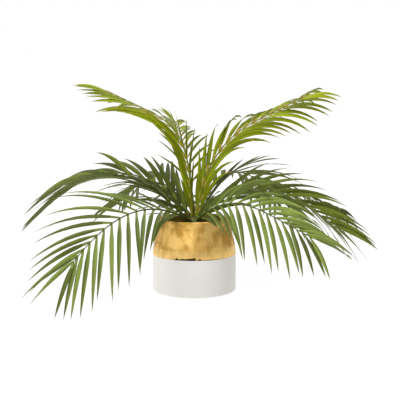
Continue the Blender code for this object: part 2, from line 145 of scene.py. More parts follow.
# Each ring of sheaths runs between two angles above level on the dome, in radians.
SHEATH_RINGS = ((-0.45, 0.55), (0.05, 1.0))
SHEATH_SEED = 11
SHEATH_STRAY = 0.15
SHEATH_SIZE = (0.85, 1.1)
SHEATH_HALF_ANGLE = 0.42
SHEATH_POINT = 2.2
SHEATH_GAP = 0.0006
SHEATH_RING_GAP = 0.0008
SHEATH_TIP_STAND = 0.0012
SHEATH_THICKNESS = 0.0005

# Fronds, by the rule of the frame
DOWN = Vector((0.0, 0.0, -1.0))
RIB_STEPS = 40
RIB_SIDES = 8
RIB_FOOT_RADIUS = 0.0026
RIB_TIP_RADIUS = 0.0009
CROWDING = 1.15
OPEN_CHANCE = 4.0
LIFT_CHANCE = 5.0
LENGTH_CHANCE = (0.93, 1.05)
LIFT_FADE = 0.4
SAG_GROWTH = 1.2
LONGEST_AT = 0.4
LOW_END_POWER = 1.5
TIP_POWER = 2.0
WIDEST_AT = 0.35
LAST_ROOT = 0.999
ROOT_WIDTH_SHARE = 0.45
FULL_WIDTH_AT = 0.3
TAPER_POWER = 0.8
ROOT_OFFSET = 0.5
STAGGER = 0.006
LOWEST_LEAF = 0.003
NUDGES = (0.0, 7.0, -7.0, 14.0, -14.0, 21.0, -21.0)

# Fronds, finish
BLADE_STEPS = 8
BLADE_SEED = 500
# The fold of a leaflet flattens to this share by this place along it.
FLAT_FOLD = 0.3
FLAT_FOLD_AT = 0.6
RIB_DEPTH_SHARE = 0.85
# A rib widens towards its foot over this share of its length, by these shares of its radius.
CLASP_SHARE = 0.07
CLASP_WIDTH = 1.3
CLASP_DEPTH = 0.3
SHARP_LEAFLET = 75.0
LEAF_ROUGHNESS = 0.46
# How far a leaf's soft patches go from its colour, as a share, and its gloss, tinted green.
LEAF_SPREAD = 0.16
LEAF_SPECULAR = 0.18
LEAF_TINT = (0.8, 1.0, 0.3, 1.0)
# The grid that a leaflet starts from ends at 1, and its corners beyond this are the tip.
TIP_ROW = 0.99
# Darker and lighter copies of a leaf's green, for painted shade and painted highlight.
DEEP_PAINTED_SHADE = 0.62
PAINTED_HIGHLIGHT_SHADE = 1.4
UNDERSIDE_SHADE = 1.15
UNDERSIDE_GREY = 0.12
UNDERSIDE_ROUGHNESS = 0.6
# Shades of the roots, tips and ribs of the fronds that aren't young.
ROOT_SHADE = 1.25
TIP_SHADE = 0.85
RIB_SHADE = 0.5
# Slots of a frond's leaf materials, and the tones up to which a leaflet takes each pair for its halves. The
# deep and light slots hold painted shade and painted highlight, so a leaflet's two halves show its fold as
# shaded and lit.
LEAF_SLOT = 0
SHADED_DEEP_SLOT = 1
ROOT_SLOT = 2
TIP_SLOT = 3
UNDERSIDE_SLOT = 4
LIT_HIGHLIGHT_SLOT = 5
LIT_AND_SHADED_HALVES = (
    (0.22, (SHADED_DEEP_SLOT, SHADED_DEEP_SLOT)),
    (0.62, (LEAF_SLOT, SHADED_DEEP_SLOT)),
    (0.90, (LIT_HIGHLIGHT_SLOT, LEAF_SLOT)),
    (1.00, (LIT_HIGHLIGHT_SLOT, LIT_HIGHLIGHT_SLOT)),
)
# Painted shade: leaflets by the crown take the darker, shaded tones more often than those further out.
CROWN_SHADE_TONE = 0.24
CROWN_SHADE_ENDS_AT = 0.45
ROOT_SHARE = 0.10
TIP_SHARE = 0.88
# Painted light: the two fronds that reach towards the camera take a lighter copy of the darker fronds'
# green.
LIT_FRONT_FRONDS = ("frond_front_left", "frond_front_right")

# Stage
FLOOR_SIZE = 12.0
# Painted shadow: the floor is a little darker round the planter, between these distances from it.
FLOOR_SHADOW_REACH = (0.4, 1.6)
FLOOR_SHADE = 0.93
# Name, place, size and share of the main power of each light.
LIGHTS = (
    ("key_light", (-2.0, -2.4, 2.3), 2.2, 1.0),
    ("fill_light", (2.6, -1.6, 1.4), 2.4, 0.10),
    ("top_light", (0.2, 0.6, 3.0), 2.6, 0.45),
)
LIGHT_AIM = (0.0, 0.0, 0.2)
# The room's light goes from the first strength to the second, from left to right, from low to high
# and from the middle to the back, between two parts of the unit vector that looks there.
SIDE_PARTS = (-1.0, 1.0)
SIDE_LIGHT = (1.42, 0.24)
HEIGHT_PARTS = (-0.2, 0.9)
HEIGHT_LIGHT = (0.55, 1.2)
BACK_PARTS = (0.1, 0.9)
BACK_LIGHT = (1.0, 1.9)
CAMERA_PLACE = (0.0129, -2.0, 0.469)
CAMERA_AIM = (0.0129, 0.0, 0.206)
LENS = 80.2
SENSOR_WIDTH = 36.0
CLIP_END = 50.0


@dataclass(frozen=True)
class Frond:
    """One wired frond. Angles are in degrees, shares run from the foot (0) to the tip (1).

    The foot is a place on the crown's dome, as a plan angle and an angle above level. Roll, ends
    and pitch are given at the foot and at the tip, opening also between them, and lift for either
    side of the rib. A leaflet opens away from its rib, is lifted out of the frond's plane, sags
    under its own weight and has its forward edge tipped down by the pitch.
    """

    name: str
    foot: tuple
    azimuth: float
    rise: float
    fall: float
    bend: float
    span: float
    length: float
    seed: int
    sweep: float = 0.0
    bare: float = 0.08
    roll: tuple = (0.0, 0.0)
    leaflet: float = 0.185
    ends: tuple = (0.82, 0.6)
    opening: tuple = (55.0, 45.0, 26.0)
    lift: tuple = (15.0, 15.0)
    sag: float = 0.9
    pitch: tuple = (42.0, 42.0)
    width: float = 0.0105
    pairs: int = 13
    young: bool = False


FRONDS = (
    Frond(
        "frond_upper_left",
        foot=(150, 72), azimuth=142, rise=85, fall=19, bend=0.43, span=0.27, length=0.435,
        bare=0.02, roll=(-7, 15), leaflet=0.138, ends=(0.60, 0.65), opening=(10, 28, 17),
        lift=(-24, -18), sag=0.50, pitch=(0, 0), width=0.0110, pairs=17, seed=160, young=True,
    ),
    Frond(
        "frond_upper_right",
        foot=(30, 72), azimuth=26, rise=78, fall=21, bend=0.37, span=0.35, sweep=8,
        length=0.430, bare=0.02, roll=(17, 2), leaflet=0.161, ends=(0.80, 0.65),
        opening=(12, 19, 16), lift=(35, -2), sag=1.10, pitch=(3, 3), width=0.0110, pairs=17,
        seed=23, young=True,
    ),
    Frond(
        "frond_left",
        foot=(172, 50), azimuth=151, rise=51, fall=-38, bend=0.40, span=0.65, sweep=11,
        length=0.430, bare=0.05, roll=(-9, -17), leaflet=0.170, ends=(0.90, 0.55),
        opening=(28, 30, 24), lift=(6, 4), sag=0.45, width=0.0125, pairs=15, seed=179,
    ),
    Frond(
        "frond_front_left",
        foot=(232, 30), azimuth=229, rise=27, fall=-34, bend=0.44, span=0.60, sweep=6,
        length=0.390, bare=0.11, roll=(-36, -32), leaflet=0.180, ends=(0.80, 0.68),
        opening=(28, 47, 16), lift=(-1, 5), sag=0.65, pitch=(15, 15), width=0.0095, pairs=15,
        seed=115,
    ),
    Frond(
        "frond_front_right",
        foot=(303, 36), azimuth=305, rise=35, fall=-16, bend=0.32, span=0.46, sweep=8,
        length=0.370, bare=-0.02, roll=(66, 32), leaflet=0.149, ends=(0.50, 0.70),
        opening=(27, 44, 19), lift=(5, -7), sag=1.05, width=0.0095, pairs=17, seed=218,
    ),
    Frond(
        "frond_right",
        foot=(335, 48), azimuth=314, rise=46, fall=-34, bend=0.38, span=0.72, sweep=25,
        length=0.375, bare=0.13, roll=(5, -7), leaflet=0.153, ends=(0.90, 0.75),
        opening=(45, 38, 34), lift=(36, 4), sag=0.65, width=0.0095, pairs=14, seed=197,
    ),
    Frond(
        "frond_back_upright",
        foot=(90, 62), azimuth=104, rise=70, fall=18, bend=0.39, span=0.53, sweep=-5,
        length=0.340, bare=0.25, roll=(-2, 27), leaflet=0.115, ends=(0.85, 0.75),
        opening=(47, 24, 24), lift=(25, 20), sag=0.55, pitch=(0, 0), width=0.0070,
        seed=32, young=True,
    ),
    Frond(
        "frond_back_right",
        foot=(58, 42), azimuth=62, rise=51, fall=-31, bend=0.34, span=0.54, sweep=-10,
        length=0.445, bare=0.07, roll=(-10, -2), leaflet=0.197, ends=(0.80, 0.60),
        opening=(25, 30, 24), lift=(5, 20), sag=0.55, pitch=(0, 42), width=0.0125,
        seed=169,
    ),
    Frond(
        "frond_back_left",
        foot=(130, 40), azimuth=125, rise=31, fall=-30, bend=0.52, span=0.32, sweep=2,
        length=0.340, roll=(-20, -8), leaflet=0.165, ends=(0.85, 0.55), opening=(24, 30, 26),
        lift=(8, 7), sag=0.50, pitch=(0, 42), width=0.0125, seed=22,
    ),
    Frond(
        "frond_right_behind",
        foot=(15, 40), azimuth=28, rise=45, fall=-25, bend=0.28, span=0.58, sweep=-4,
        length=0.410, bare=0.03, roll=(14, 25), leaflet=0.179, ends=(0.75, 0.65),
        opening=(30, 36, 28), lift=(-2, 3), sag=1.00, pitch=(0, 42), width=0.0120,
        seed=315,
    ),
    Frond(
        "frond_left_low",
        foot=(190, 28), azimuth=175, rise=45, fall=-32, bend=0.57, span=0.54, sweep=-4,
        length=0.360, bare=-0.03, roll=(-9, -9), leaflet=0.172, ends=(0.80, 0.45),
        opening=(50, 46, 31), lift=(6, 0), sag=0.60, width=0.0115, seed=12,
    ),
    Frond(
        "frond_back_low",
        foot=(90, 30), azimuth=95, rise=30, fall=-52, bend=0.40, span=0.68, sweep=4,
        length=0.415, roll=(11, 1), leaflet=0.194, ends=(0.90, 0.50), opening=(38, 38, 19),
        lift=(24, 7), sag=0.80, pitch=(0, 42), pairs=12, seed=61,
    ),
)


# Shapes


def smooth_step(value):
    """Ease from 0 to 1 with no corner at either end."""
    value = min(max(value, 0.0), 1.0)
    return value * value * (3.0 - 2.0 * value)


def blend(start, end, share):
    """Value at a share of the way from start to end."""
    return start + (end - start) * share


def heading(azimuth, height_angle):
    """Unit vector of a plan direction and an angle above level, in degrees."""
    turn = math.radians(azimuth)
    climb = math.radians(height_angle)
    level = math.cos(climb)
    return Vector((level * math.cos(turn), level * math.sin(turn), math.sin(climb)))


def arc(centre, radius, start, end, steps):
    """Points of an arc in the (radius, height) plane, angles from the +radius direction."""
    points = []
    for index in range(steps + 1):
        angle = blend(start, end, index / steps)
        points.append((centre[0] + radius * math.cos(angle), centre[1] + radius * math.sin(angle)))
    return points


def spaced(outline, gap):
    """Add points to an outline so that no run is longer than gap."""
    points = [outline[0]]
    for first, second in zip(outline, outline[1:]):
        runs = max(1, math.ceil(math.dist(first, second) / gap))
        for index in range(1, runs + 1):
            share = index / runs
            points.append((blend(first[0], second[0], share), blend(first[1], second[1], share)))
    return points


def turned(outline, steps):
    """Spin an outline of (radius, height) points about Z."""
    builder = bmesh.new()
    points = [builder.verts.new((radius, 0.0, height)) for radius, height in outline]
    for first, second in zip(points, points[1:]):
        builder.edges.new((first, second))
    bmesh.ops.spin(
        builder,
        geom=builder.verts[:] + builder.edges[:],
        cent=(0.0, 0.0, 0.0),
        axis=(0.0, 0.0, 1.0),
        angle=math.tau,
        steps=steps,
        use_merge=True,
    )
    bmesh.ops.remove_doubles(builder, verts=builder.verts, dist=MERGE_DISTANCE)
    bmesh.ops.recalc_face_normals(builder, faces=builder.faces)
    return builder


def placed(point, across, over, way, half_width, half_depth):
    """Matrix that sets a unit ring at a point, facing way, with its two half sizes."""
    columns = (across * half_width, over * half_depth, way)
    matrix = Matrix.Identity(4)
    for column, vector in enumerate(columns):
        matrix[0][column], matrix[1][column], matrix[2][column] = vector
    matrix.translation = point
    return matrix


def add_swept(builder, frames, sides):
    """Add a closed rod made by extruding a ring through a row of frames."""
    rod = bmesh.new()
    bmesh.ops.create_circle(rod, cap_ends=True, segments=sides, radius=1.0, matrix=frames[0])
    face = rod.faces[:][0]
    for before, after in zip(frames, frames[1:]):
        face = bmesh.ops.extrude_discrete_faces(rod, faces=[face])["faces"][0]
        bmesh.ops.transform(rod, matrix=after @ before.inverted(), verts=face.verts)
    bmesh.ops.holes_fill(rod, edges=rod.edges, sides=sides)
    bmesh.ops.recalc_face_normals(rod, faces=rod.faces)
    add_mesh(builder, rod)


def new_mesh(name, builder):
    """Mesh from a finished builder, which is freed."""
    mesh = bpy.data.meshes.new(name)
    builder.to_mesh(mesh)
    builder.free()
    return mesh


def add_mesh(builder, part):
    """Copy a finished part into a larger mesh."""
    mesh = new_mesh("part", part)
    builder.from_mesh(mesh)
    bpy.data.meshes.remove(mesh)


def add_object(name, data):
    """Put a mesh, a light or a camera in the scene."""
    made = bpy.data.objects.new(name, data)
    bpy.context.scene.collection.objects.link(made)
    return made


def aim(thing, place, target):
    """Set a light or the camera at a place and turn it towards its target."""
    thing.location = place
    way = Vector(target) - Vector(place)
    thing.rotation_euler = way.to_track_quat("-Z", "Y").to_euler()


def outward(point):
    """Level vector from the planter's axis to a point."""
    return Vector((point.x, point.y, 0.0))


def face_outwards(builder):
    """Turn the faces of an open shell away from the planter's axis."""
    if sum(face.normal.dot(outward(face.calc_center_median())) for face in builder.faces) < 0.0:
        bmesh.ops.reverse_faces(builder, faces=builder.faces)


def thicken(builder, thickness):
    """Give an open shell its thickness."""
    bmesh.ops.solidify(builder, geom=builder.faces[:], thickness=thickness)
    bmesh.ops.recalc_face_normals(builder, faces=builder.faces)


def finish_piece(name, builder, materials, nodes, sharp=SHARP_EDGE):
    """Make a named piece of the plant that rides on the body and stands for its CAD nodes."""
    mesh = new_mesh(name, builder)
    for material in materials:
        mesh.materials.append(material)
    mesh.shade_smooth()
    mesh.set_sharp_from_angle(angle=math.radians(sharp))
    piece = add_object(name, mesh)
    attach(piece, BODY)
    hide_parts(*nodes)
    return piece


def side_radius(height):
    """Radius of the planter's outer side at a height."""
    if height <= SHOULDER_START:
        return PLANTER_RADIUS
    lift = height - SHOULDER_START
    arc_height = SHOULDER_ARC * math.sin(CONE_ANGLE)
    if lift <= arc_height:
        return PLANTER_RADIUS - SHOULDER_ARC + math.sqrt(SHOULDER_ARC**2 - lift**2)
    arc_run = SHOULDER_ARC * (1.0 - math.cos(CONE_ANGLE))
    return PLANTER_RADIUS - arc_run - (lift - arc_height) * math.tan(CONE_ANGLE)


def side_points(bottom, top, inset):
    """Points up the planter's side from one height to another, moved inwards by inset."""
    runs = max(1, round((top - bottom) / WALL_RING_GAP))
    heights = [blend(bottom, top, index / runs) for index in range(runs + 1)]
    return [(side_radius(height) - inset, height) for height in heights]


def lip_points(inset):
    """Half-round lip from the outer side over to the inner side."""
    centre = (side_radius(LIP_HEIGHT) - WALL / 2.0, LIP_HEIGHT)
    return arc(centre, WALL / 2.0 - inset, CONE_ANGLE, math.pi + CONE_ANGLE, LIP_STEPS)


# Materials


def add_node(tree, kind, values=None, **options):
    """Add a shader node, set its options, and set or link its inputs."""
    made = tree.nodes.new(kind)
    for key, value in options.items():
        setattr(made, key, value)
    for key, value in (values or {}).items():
        if isinstance(value, bpy.types.NodeSocket):
            tree.links.new(value, made.inputs[key])
        else:
            made.inputs[key].default_value = value
    return made


def new_material(name, roughness, metallic=0.0, specular=0.5):
    """Material with its node tree and its shader."""
    material = bpy.data.materials.new(name)
    material.use_nodes = True
    tree = material.node_tree
    shader = tree.nodes["Principled BSDF"]
    shader.inputs["Roughness"].default_value = roughness
    shader.inputs["Metallic"].default_value = metallic
    shader.inputs["Specular IOR Level"].default_value = specular
    return material, tree, shader


def patches(tree, scale, stretch=(1.0, 1.0, 1.0), detail=3.0, offset=(0.0, 0.0, 0.0)):
    """Noise on the object's own coordinates, stretched along an axis where a finish runs that way."""
    place = add_node(tree, "ShaderNodeTexCoord").outputs["Object"]
    mapped = add_node(tree, "ShaderNodeMapping", {"Vector": place, "Scale": stretch, "Location": offset})
    values = {"Vector": mapped.outputs["Vector"], "Scale": scale, "Detail": detail}
    return add_node(tree, "ShaderNodeTexNoise", values).outputs["Fac"]


def ranged(tree, value, low, high, start=0.0, end=1.0):
    """Value between low and high moved to run from start to end."""
    values = {"Value": value, "From Min": low, "From Max": high, "To Min": start, "To Max": end}
    return add_node(tree, "ShaderNodeMapRange", values).outputs["Result"]


def evened(tree, noise_value, start=0.0, end=1.0):
    """Noise spread over the range that it mostly fills, moved to run from start to end."""
    return ranged(tree, noise_value, *NOISE_RANGE, start, end)


def mixed(tree, share, first, second):
    """Colour between two colours."""
    node = add_node(tree, "ShaderNodeMix", data_type="RGBA")
    for socket, value in ((node.inputs["Factor"], share), (node.inputs[6], first), (node.inputs[7], second)):
        if isinstance(value, bpy.types.NodeSocket):
            tree.links.new(value, socket)
        else:
            socket.default_value = value if isinstance(value, float) else (*value[:3], 1.0)
    return node.outputs[2]


def combined(tree, operation, *values):
    """Result of an arithmetic step on two or three values, sockets or plain numbers."""
    return add_node(tree, "ShaderNodeMath", dict(enumerate(values)), operation=operation).outputs[0]


def add_bump(tree, shader, height, distance, strength):
    """Raise the surface by a height pattern, as far as distance where the pattern is 1."""
    bump = add_node(tree, "ShaderNodeBump", {"Height": height, "Distance": distance, "Strength": strength})
    tree.links.new(bump.outputs["Normal"], shader.inputs["Normal"])


def shade(colour, factor):
    """Darker or lighter colour of the same hue."""
    return tuple(min(1.0, value * factor) for value in colour)


def leaf_material(name, colour, roughness=LEAF_ROUGHNESS):
    """Satin moulded leaf: near shades in soft patches and a fine grain."""
    material, tree, shader = new_material(name, roughness, specular=LEAF_SPECULAR)
    shader.inputs["Specular Tint"].default_value = LEAF_TINT
    soft = evened(tree, patches(tree, 22.0))
    base = mixed(tree, soft, shade(colour, 1.0 - LEAF_SPREAD), shade(colour, 1.0 + LEAF_SPREAD))
    tree.links.new(base, shader.inputs["Base Color"])
    uneven = evened(tree, patches(tree, 60.0), roughness - 0.07, roughness + 0.08)
    tree.links.new(uneven, shader.inputs["Roughness"])
    add_bump(tree, shader, patches(tree, 900.0, detail=2.0), 0.0002, 0.5)
    return material


def white_glaze_material(colour):
    """Soft white glaze with faint clouding and a little unevenness from the throwing."""
    material, tree, shader = new_material("white_glaze", 0.34)
    cloud = evened(tree, patches(tree, 14.0))
    warm = mixed(tree, cloud, shade(colour, 0.965), colour)
    speck = ranged(tree, patches(tree, 260.0, detail=1.0), 0.66, 0.76, 0.0, 0.25)
    tree.links.new(mixed(tree, speck, warm, shade(colour, 0.82)), shader.inputs["Base Color"])
    uneven = evened(tree, patches(tree, 30.0, (1.0, 1.0, 3.0)), 0.30, 0.42)
    tree.links.new(uneven, shader.inputs["Roughness"])
    add_bump(tree, shader, patches(tree, 34.0, (1.0, 1.0, 3.5)), 0.0006, 0.25)
    return material


def bare_clay_material(colour):
    """Unglazed clay under the foot."""
    material, tree, shader = new_material("bare_clay", 0.85)
    grain = evened(tree, patches(tree, 300.0))
    tree.links.new(mixed(tree, grain, shade(colour, 0.85), colour), shader.inputs["Base Color"])
    add_bump(tree, shader, grain, 0.0003, 0.4)
    return material


def distance_from(tree, place, point):
    """Distance from a point on the gold's lower edge."""
    values = {0: place, 1: (*point, GLAZE_START)}
    return add_node(tree, "ShaderNodeVectorMath", values, operation="DISTANCE").outputs["Value"]


def gold_material(light, deep, band_colour, burn_colour):
    """Brushed metallic glaze: patches above a smoother lap, burnt brown along its lower edge."""
    material, tree, shader = new_material("gold_glaze", 0.3, metallic=1.0)
    place = add_node(tree, "ShaderNodeTexCoord").outputs["Object"]
    height = add_node(tree, "ShaderNodeSeparateXYZ", {"Vector": place}).outputs["Z"]
    strokes = patches(tree, 40.0, (1.5, 1.5, 0.6), detail=4.0, offset=(0.3, 0.1, 0.0))
    clouds = patches(tree, 17.0, (1.0, 1.0, 1.8), offset=(0.0, 0.7, 0.2))
    bands = patches(tree, 9.0, (1.0, 1.0, 5.0), detail=2.0)
    total = combined(tree, "ADD", strokes, clouds)
    gold = mixed(tree, ranged(tree, total, *GOLD_RANGE), deep, light)
    olive = ranged(tree, combined(tree, "ADD", clouds, bands), *OLIVE_RANGE, 0.0, OLIVE_STRENGTH)
    gold = mixed(tree, olive, gold, tuple(value * share for value, share in zip(deep, OLIVE_SHARES)))
    uneven = combined(tree, "MULTIPLY_ADD", bands, LAP_WANDER, height)
    lap = ranged(tree, uneven, LAP_HEIGHT + LAP_BLUR, LAP_HEIGHT, 0.0, LAP_STRENGTH)
    light_share = ranged(tree, total, *LAP_RANGE)
    gold = mixed(tree, lap, gold, mixed(tree, light_share, shade(band_colour, LAP_SHADE), band_colour))
    edge = ranged(tree, height, GLAZE_START, GLAZE_START + BURN_HEIGHT, 1.0, 0.0)
    near = ranged(tree, distance_from(tree, place, BURN_PLACE), *BURN_REACH, BURN_SHARE, 0.0)
    spots = patches(tree, 95.0, (1.0, 1.0, 1.6))
    burnt = ranged(tree, combined(tree, "MULTIPLY_ADD", edge, near, spots), *BURN_RANGE)
    line = ranged(tree, distance_from(tree, place, LINE_PLACE), *LINE_REACH, *LINE_STRENGTH)
    low, high = LINE_HEIGHTS
    rim = ranged(tree, height, GLAZE_START + low, GLAZE_START + high, 1.0, 0.0)
    gold = mixed(tree, combined(tree, "MULTIPLY", rim, line), gold, burn_colour)
    tree.links.new(mixed(tree, burnt, gold, burn_colour), shader.inputs["Base Color"])
    dull = ranged(tree, total, *POLISH_RANGE, *GOLD_ROUGHNESS)
    tree.links.new(combined(tree, "MULTIPLY_ADD", lap, LAP_POLISH, dull), shader.inputs["Roughness"])
    ripple = combined(tree, "MULTIPLY_ADD", lap, LAP_STEP, total)
    add_bump(tree, shader, ripple, 0.0010, 0.22)
    return material


def moss_material(name, colour):
    """Dry dyed moss, clotted and matt."""
    material, tree, shader = new_material(name, 0.95, specular=0.15)
    clots = evened(tree, patches(tree, 120.0, detail=4.0))
    tree.links.new(mixed(tree, clots, shade(colour, 0.45), shade(colour, 1.3)), shader.inputs["Base Color"])
    add_bump(tree, shader, patches(tree, 420.0, detail=4.0), 0.0018, 0.8)
    return material


def fibre_material(name, colour, other):
    """Fibrous wrapping with threads that run upwards."""
    material, tree, shader = new_material(name, 0.8, specular=0.2)
    threads = ranged(tree, patches(tree, 420.0, (1.0, 1.0, 0.12)), 0.35, 0.65)
    tree.links.new(mixed(tree, threads, colour, other), shader.inputs["Base Color"])
    add_bump(tree, shader, threads, 0.0006, 0.7)
    return material


# Fronds


def rib_line(frond):
    """Points along the rib, the way it runs in each stretch, and its plan angle there."""
    radial = heading(*frond.foot)
    start_way = heading(frond.azimuth, frond.rise)
    tilt = math.sin(radial.angle(start_way))
    reach = CROWN_RADIUS + CLEARANCE + RIB_FOOT_RADIUS * tilt
    points = [Vector((0.0, 0.0, CROWN_CENTRE)) + radial * reach]
    ways = []
    turns = []
    first = smooth_step((frond.span - frond.bend) / (2.0 * frond.span))
    last = smooth_step((1.0 - frond.bend + frond.span) / (2.0 * frond.span))
    for index in range(RIB_STEPS):
        share = (index + 0.5) / RIB_STEPS
        eased = smooth_step((share - frond.bend + frond.span) / (2.0 * frond.span))
        eased = (eased - first) / (last - first)
        turn = frond.azimuth + frond.sweep * share
        way = heading(turn, blend(frond.rise, frond.fall, eased))
        points.append(points[-1] + way * (frond.length / RIB_STEPS))
        ways.append(way)
        turns.append(math.radians(turn))
    return points, ways, turns


def along(points, share):
    """Point of an evenly stepped line at a share of its length."""
    place = share * (len(points) - 1)
    index = min(int(place), len(points) - 2)
    return points[index].lerp(points[index + 1], place - index)


def pair_share(frond, reach):
    """Where along the rib a pair sits, reach running from 0 at the lowest pair to 1 at the last."""
    return blend(frond.bare, 1.0, 1.0 - (1.0 - reach) ** CROWDING)


def leaflet_rows(frond):
    """Reach, side and the small chance turns of every leaflet, always in the same order."""
    chance = random.Random(frond.seed)
    rows = []
    for pair in range(frond.pairs):
        for side in (-1.0, 1.0):
            open_chance = chance.uniform(-OPEN_CHANCE, OPEN_CHANCE)
            lift_chance = chance.uniform(-LIFT_CHANCE, LIFT_CHANCE)
            length_chance = chance.uniform(*LENGTH_CHANCE)
            rows.append((pair / (frond.pairs - 1), side, open_chance, lift_chance, length_chance))
    return rows


def leaflet_length_share(frond, reach):
    """Shorter leaflets towards both ends of the rib, full ones at LONGEST_AT."""
    low, tip = frond.ends
    below = max(0.0, 1.0 - reach / LONGEST_AT)
    beyond = max(0.0, (reach - LONGEST_AT) / (1.0 - LONGEST_AT))
    return 1.0 - (1.0 - low) * below**LOW_END_POWER - (1.0 - tip) * beyond**TIP_POWER


def leaflet_opening(frond, reach):
    """Angle between a leaflet and the rib, set at the lowest pair, at WIDEST_AT and at the last pair."""
    low, middle, tip = frond.opening
    if reach < WIDEST_AT:
        return blend(low, middle, reach / WIDEST_AT)
    return blend(middle, tip, (reach - WIDEST_AT) / (1.0 - WIDEST_AT))


def leaflet_line(frond, line, row, nudge):
    """Centre line points, the ways between them, and the rib's frame for one leaflet."""
    points, ways, turns = line
    reach, side, open_chance, lift_chance, length_chance = row
    share = min(max(pair_share(frond, reach) + side * STAGGER, 0.0), LAST_ROOT)
    index = int(share * RIB_STEPS)
    way = ways[index]
    across = Vector((-math.sin(turns[index]), math.cos(turns[index]), 0.0))
    turn = Matrix.Rotation(math.radians(blend(*frond.roll, share)), 3, way)
    across = turn @ across
    over = way.cross(across)
    opening = math.radians(leaflet_opening(frond, reach) + open_chance)
    side_lift = frond.lift[0] if side > 0.0 else frond.lift[1]
    lift = math.radians(side_lift * (1.0 - LIFT_FADE * reach) + lift_chance + nudge)
    outwards = across * side * math.cos(lift) + over * math.sin(lift)
    start_way = way * math.cos(opening) + outwards * math.sin(opening)
    size = leaflet_length_share(frond, reach)
    length = frond.leaflet * length_chance * size
    root = outwards * ROOT_OFFSET * blend(RIB_FOOT_RADIUS, RIB_TIP_RADIUS, share)
    centre_line = [along(points, share) + root]
    leaflet_ways = []
    for step in range(BLADE_STEPS):
        bent = start_way + DOWN * frond.sag * size * ((step + 0.5) / BLADE_STEPS) ** SAG_GROWTH
        bent.normalize()
        leaflet_ways.append(bent)
        centre_line.append(centre_line[-1] + bent * (length / BLADE_STEPS))
    return centre_line, leaflet_ways, way, over


def leaflet_width_share(share):
    """Outline of a leaflet: narrow root, full by a third of its length, drawn to a point."""
    swell = blend(ROOT_WIDTH_SHARE, 1.0, smooth_step(share / FULL_WIDTH_AT))
    beyond = max(0.0, (share - FULL_WIDTH_AT) / (1.0 - FULL_WIDTH_AT))
    taper = math.cos(math.pi / 2.0 * beyond) ** TAPER_POWER
    return swell * taper


def blade(leaflet, settings, picks):
    """Thin folded leaflet with its ridge on top and its underside in a slot of its own."""
    centre_line, leaflet_ways, rib_way, rib_over = leaflet
    pitch, width, twist, drift, tone = picks
    rows = []
    for station, point in enumerate(centre_line):
        share = station / BLADE_STEPS
        way = leaflet_ways[max(0, station - 1)]
        across = (rib_way - way * rib_way.dot(way)).normalized()
        over = way.cross(across)
        if over.dot(rib_over) < 0.0:
            over = -over
        turn = Matrix.Rotation(math.radians(pitch + twist * share), 3, over.cross(across))
        across = turn @ across
        over = turn @ over
        half = width / 2.0 * leaflet_width_share(share)
        fold = settings.fold * blend(1.0, FLAT_FOLD, smooth_step(share / FLAT_FOLD_AT))
        rows.append((point + across * drift * share**2, across * half, over * half * fold))
    builder = bmesh.new()
    bmesh.ops.create_grid(builder, x_segments=2, y_segments=BLADE_STEPS, size=1.0)
    for face in builder.faces:
        middle = face.calc_center_median()
        # Painted light and shade: the two halves of a leaflet may take a darker and a lighter copy of its
        # green.
        face.material_index = tone_slot((middle.y + 1.0) / 2.0, middle.x < 0.0, tone)
    tip = [corner for corner in builder.verts if corner.co.y > TIP_ROW]
    for corner in builder.verts:
        point, across, over = rows[round((corner.co.y + 1.0) / 2.0 * BLADE_STEPS)]
        corner.co = point + across * corner.co.x - over * abs(corner.co.x)
    bmesh.ops.pointmerge(builder, verts=tip, merge_co=rows[-1][0])
    builder.normal_update()
    if sum(face.normal.dot(rows[0][2]) for face in builder.faces) < 0.0:
        bmesh.ops.reverse_faces(builder, faces=builder.faces)
    top = set(builder.faces)
    thicken(builder, settings.thickness)
    for face in builder.faces:
        if face not in top:
            face.material_index = UNDERSIDE_SLOT
    return builder


def tone_slot(share, is_low_half, tone):
    """Slot of a face of a leaflet: its paler root, its tip, or the green of one of its halves, the halves
    taking painted shade and painted highlight by its tone.
    """
    if share < ROOT_SHARE:
        return ROOT_SLOT
    if share > TIP_SHARE:
        return TIP_SLOT
    pair = next(slots for limit, slots in LIT_AND_SHADED_HALVES if tone <= limit)
    return pair[0] if is_low_half else pair[1]


def rib_rod(frond, line):
    """Smooth rib that widens into a sheath where it clasps the crown."""
    points, ways, turns = line
    frames = []
    for ring in range(RIB_STEPS + 1):
        share = ring / RIB_STEPS
        index = min(ring, RIB_STEPS - 1)
        way = (ways[max(0, index - 1)] + ways[index]).normalized()
        across = Vector((-math.sin(turns[index]), math.cos(turns[index]), 0.0))
        over = way.cross(across)
        radius = blend(RIB_FOOT_RADIUS, RIB_TIP_RADIUS, share)
        clasp = max(0.0, 1.0 - share / CLASP_SHARE) ** 2
        half_width = radius * (1.0 + CLASP_WIDTH * clasp)
        half_depth = radius * (RIB_DEPTH_SHARE + CLASP_DEPTH * clasp)
        frames.append(placed(points[ring], across, over, way, half_width, half_depth))
    builder = bmesh.new()
    add_swept(builder, frames, RIB_SIDES)
    return builder


def leaf_set(name, colour, root, tip):
    """Leaf materials of one tone, in slot order, with a darker copy for painted shade and a lighter one for
    painted highlight.
    """
    underside = muted(shade(colour, UNDERSIDE_SHADE), UNDERSIDE_GREY)
    return (
        leaf_material(f"{name}_leaf", colour),
        leaf_material(f"{name}_leaf_deep", shade(colour, DEEP_PAINTED_SHADE)),
        leaf_material(f"{name}_leaf_root", root),
        leaf_material(f"{name}_leaf_tip", tip),
        leaf_material(f"{name}_leaf_underside", underside, roughness=UNDERSIDE_ROUGHNESS),
        leaf_material(f"{name}_leaf_light", shade(colour, PAINTED_HIGHLIGHT_SHADE)),
    )


def muted(colour, share):
    """Colour drawn towards its own grey."""
    grey = sum(colour[:3]) / 3.0
    return tuple(blend(value, grey, share) for value in colour[:3])


